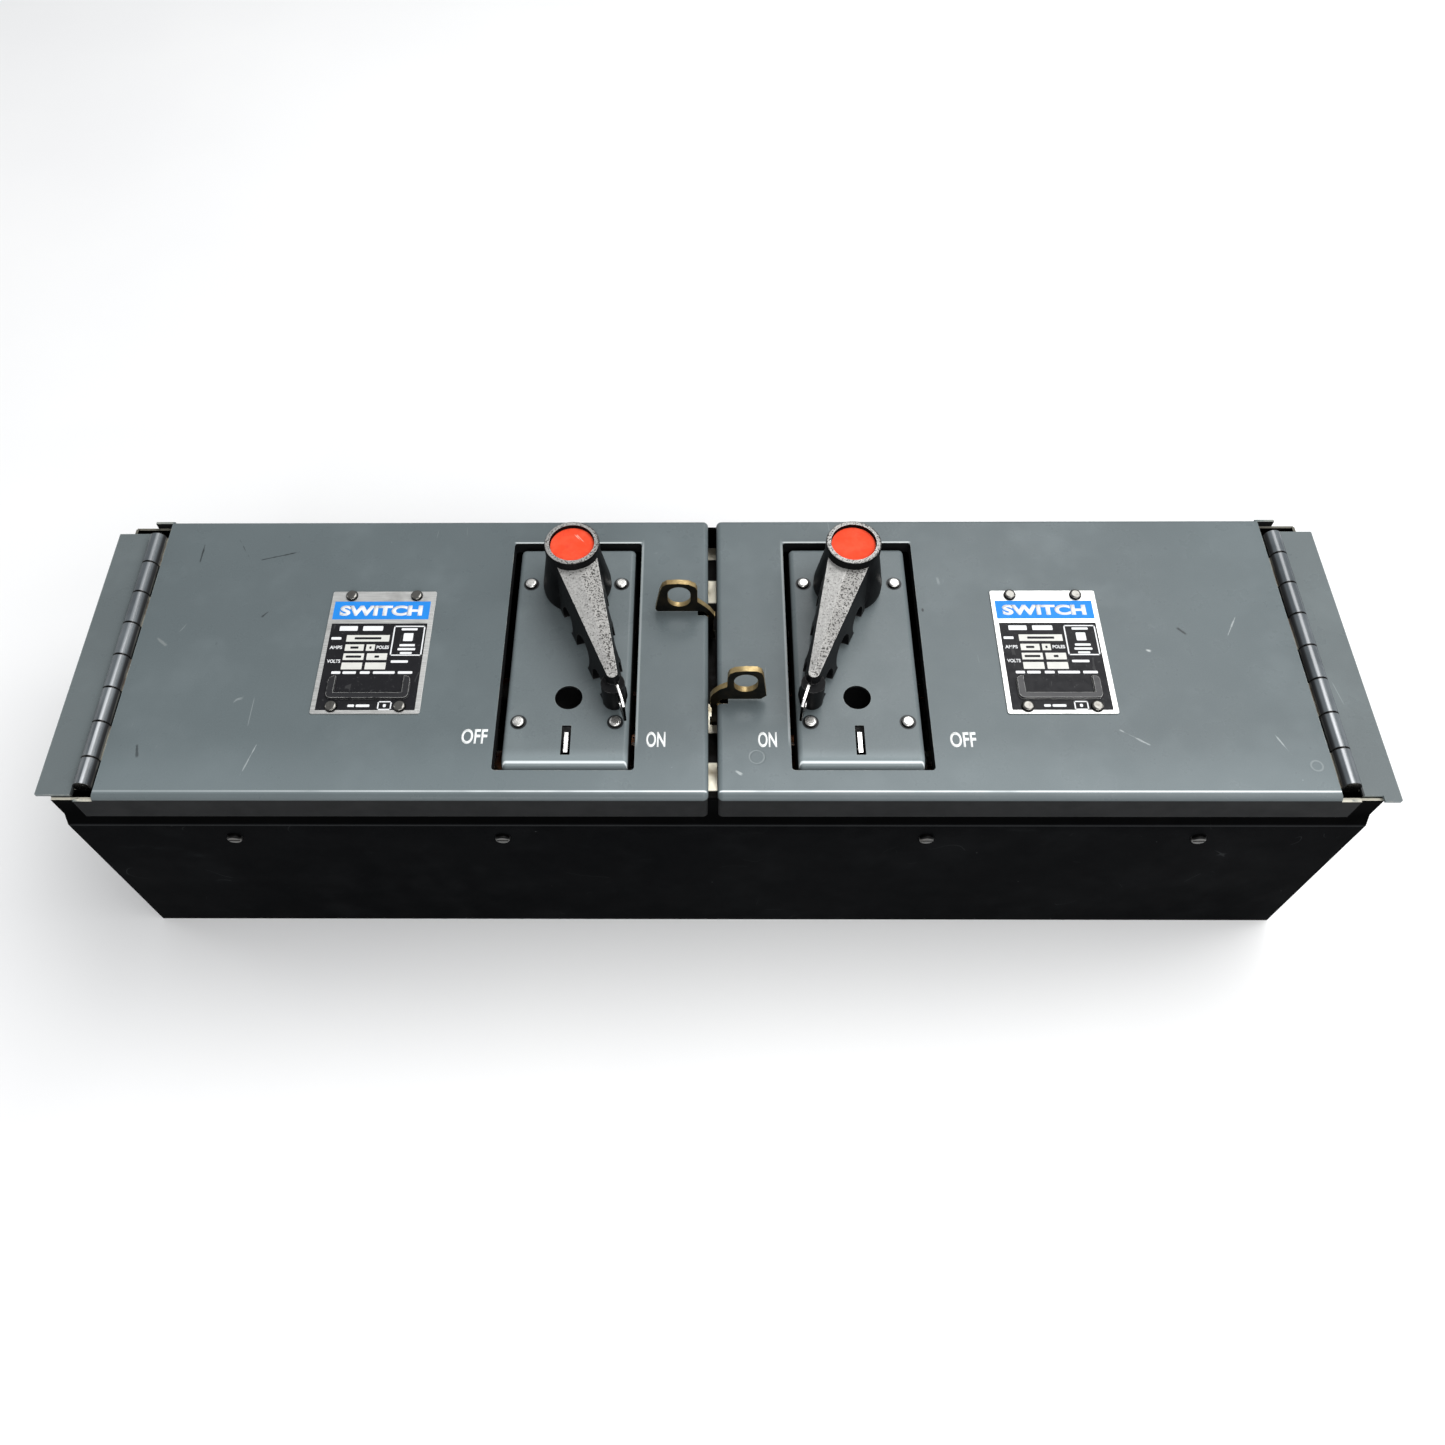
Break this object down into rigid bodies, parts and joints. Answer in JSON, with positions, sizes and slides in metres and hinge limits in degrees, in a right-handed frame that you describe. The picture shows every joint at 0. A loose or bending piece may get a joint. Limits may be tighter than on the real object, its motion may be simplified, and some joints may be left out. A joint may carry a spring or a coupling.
{
  "type": "fuse box panel",
  "caption": "Twin fused-switch panel unit: a long steel box with two hinged doors, rotary lever handles, nameplates and padlock eyes.",
  "frame": {"origin": "middle of the back face, on the plane that the unit mounts against", "axes": "+X along the length to the right-hand door, +Y up the panel, +Z out of the front"},
  "size_m": [0.708, 0.1948, 0.201],
  "materials": {
    "grey_enamel": "satin enamel, worn at the edges",
    "hinge_enamel": "gloss enamel over rolled steel",
    "cast_handle": "black finish worn to grey cast metal on top",
    "red_insert": "satin red, scratched",
    "bright_steel": "bright plated steel",
    "nameplate_metal": "brushed with printed fields",
    "yellow_zinc": "yellow zinc plate over steel, dulled",
    "copper_bar": "tinned and bare copper",
    "black_insulator": "moulded thermoset",
    "red_insulator": "moulded thermoset, red-brown",
    "fuse_paper": "wound fibre tube",
    "lug_metal": "extruded, tin plated"
  },
  "bodies": {
    "enclosure": {"back_plate": "grey_enamel", "upper_side_wall": "grey_enamel", "lower_side_wall": "grey_enamel", "left_end_wall": "grey_enamel", "right_end_wall": "grey_enamel", "left_end_flange": "grey_enamel", "right_end_flange": "grey_enamel", "left_cover_plate": "grey_enamel", "right_cover_plate": "grey_enamel", "left_hinge_frame_leaf": "hinge_enamel", "right_hinge_frame_leaf": "hinge_enamel", "left_hinge_pin": "bright_steel", "right_hinge_pin": "bright_steel", "wall_screws": "bright_steel", "cover_plate_rivets": "bright_steel", "guide_rods": "bright_steel", "lug_screws": "bright_steel", "left_mechanism_frame": "bright_steel", "right_mechanism_frame": "bright_steel", "keeper_bar": "yellow_zinc", "bus_jaws": "copper_bar", "line_straps": "copper_bar", "line_contacts": "copper_bar", "load_contacts": "copper_bar", "line_fuse_clips": "copper_bar", "load_fuse_clips": "copper_bar", "fuse_blades": "copper_bar", "switch_bases": "black_insulator", "fuse_bases": "black_insulator", "arc_barriers": "red_insulator", "fuse_tubes": "fuse_paper", "load_lugs": "lug_metal"},
    "left_door": {"left_door": "grey_enamel", "left_hinge_door_leaf": "hinge_enamel", "left_nameplate": "nameplate_metal", "left_nameplate_rivets": "bright_steel", "left_latch_guide": "bright_steel"},
    "left_latch": {"left_latch": "yellow_zinc"},
    "left_handle": {"left_handle": "cast_handle", "left_handle_disc": "red_insert", "left_handle_shaft": "bright_steel"},
    "left_lock_tab": {"left_lock_tab": "bright_steel"},
    "left_carriage": {"left_contact_carriage": "red_insulator", "left_switch_blades": "copper_bar"},
    "left_interlock": {"left_interlock_lever": "bright_steel"},
    "right_door": {"right_door": "grey_enamel", "right_hinge_door_leaf": "hinge_enamel", "right_nameplate": "nameplate_metal", "right_nameplate_rivets": "bright_steel", "right_latch_guide": "bright_steel"},
    "right_latch": {"right_latch": "yellow_zinc"},
    "right_handle": {"right_handle": "cast_handle", "right_handle_disc": "red_insert", "right_handle_shaft": "bright_steel"},
    "right_lock_tab": {"right_lock_tab": "bright_steel"},
    "right_carriage": {"right_contact_carriage": "red_insulator", "right_switch_blades": "copper_bar"},
    "right_interlock": {"right_interlock_lever": "bright_steel"}
  },
  "joints": [
    {"name": "left_door_hinge", "type": "hinge", "parent": "enclosure", "child": "left_door", "pos_m": [-0.3293, 0, 0.15915], "axis": [0, 1, 0], "range_deg": [-110, 0]},
    {"name": "left_latch_slide", "type": "slide", "parent": "left_door", "child": "left_latch", "axis": [-1, 0, 0], "range_m": [0, 0.005], "stiffness_N_per_m": 300, "springref_m": -0.005},
    {"name": "left_handle_turn", "type": "hinge", "parent": "enclosure", "child": "left_handle", "pos_m": [-0.077, 0.0427, 0.16], "axis": [0, 0, 1], "range_deg": [-35.6, 0]},
    {"name": "left_lock_tab_slide", "type": "slide", "parent": "left_handle", "child": "left_lock_tab", "axis": [0.3057, -0.9521, 0], "range_m": [0, 0.007]},
    {"name": "left_carriage_slide", "type": "slide", "parent": "enclosure", "child": "left_carriage", "axis": [1, 0, 0], "range_m": [-0.0222, 0]},
    {"name": "left_interlock_slide", "type": "slide", "parent": "enclosure", "child": "left_interlock", "axis": [0, 1, 0], "range_m": [0, 0.003], "stiffness_N_per_m": 200, "springref_m": -0.003},
    {"name": "right_door_hinge", "type": "hinge", "parent": "enclosure", "child": "right_door", "pos_m": [0.3293, 0, 0.15915], "axis": [0, 1, 0], "range_deg": [0, 110]},
    {"name": "right_latch_slide", "type": "slide", "parent": "right_door", "child": "right_latch", "axis": [1, 0, 0], "range_m": [0, 0.005], "stiffness_N_per_m": 300, "springref_m": -0.005},
    {"name": "right_handle_turn", "type": "hinge", "parent": "enclosure", "child": "right_handle", "pos_m": [0.077, 0.0427, 0.16], "axis": [0, 0, 1], "range_deg": [0, 35.6]},
    {"name": "right_lock_tab_slide", "type": "slide", "parent": "right_handle", "child": "right_lock_tab", "axis": [-0.3057, -0.9521, 0], "range_m": [0, 0.007]},
    {"name": "right_carriage_slide", "type": "slide", "parent": "enclosure", "child": "right_carriage", "axis": [1, 0, 0], "range_m": [0, 0.0222]},
    {"name": "right_interlock_slide", "type": "slide", "parent": "enclosure", "child": "right_interlock", "axis": [0, 1, 0], "range_m": [0, 0.003], "stiffness_N_per_m": 200, "springref_m": -0.003}
  ],
  "couplings": [
    {"joint": "left_carriage_slide", "follows": "left_handle_turn", "m_per_rad": 0.035424},
    {"joint": "right_carriage_slide", "follows": "right_handle_turn", "m_per_rad": 0.035424}
  ]
}
